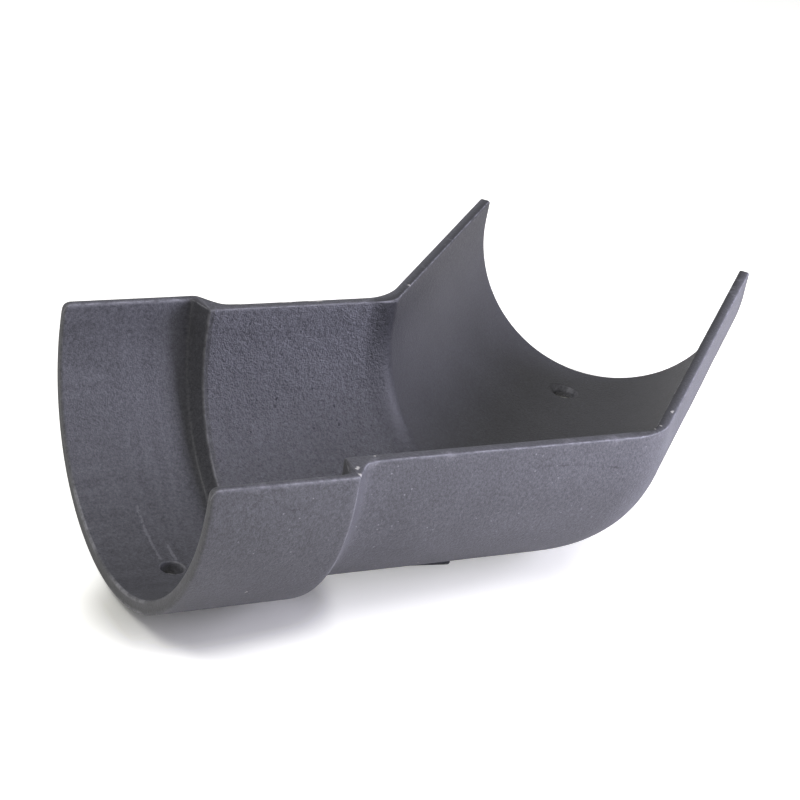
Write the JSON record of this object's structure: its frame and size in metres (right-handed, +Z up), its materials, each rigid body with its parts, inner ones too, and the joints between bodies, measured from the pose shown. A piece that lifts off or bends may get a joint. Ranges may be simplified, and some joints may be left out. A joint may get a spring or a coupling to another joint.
{
  "type": "gutter angle",
  "caption": "Obtuse angle for a deep half-round cast-iron gutter: an open trough that turns in the rim plane, with a stepped socket at one end and a plain spigot at the other.",
  "frame": {"origin": "middle of the socket's mouth, in the plane of the rim", "axes": "+X runs from the socket's mouth into the socket arm, +Z up out of the open top, the spigot arm turns to the left towards +Y"},
  "size_m": [0.3192, 0.2315, 0.08],
  "materials": {
    "painted_iron": "satin slate-grey paint over rough cast iron"
  },
  "bodies": {
    "root": {"gutter_angle": "painted_iron"}
  },
  "joints": []
}
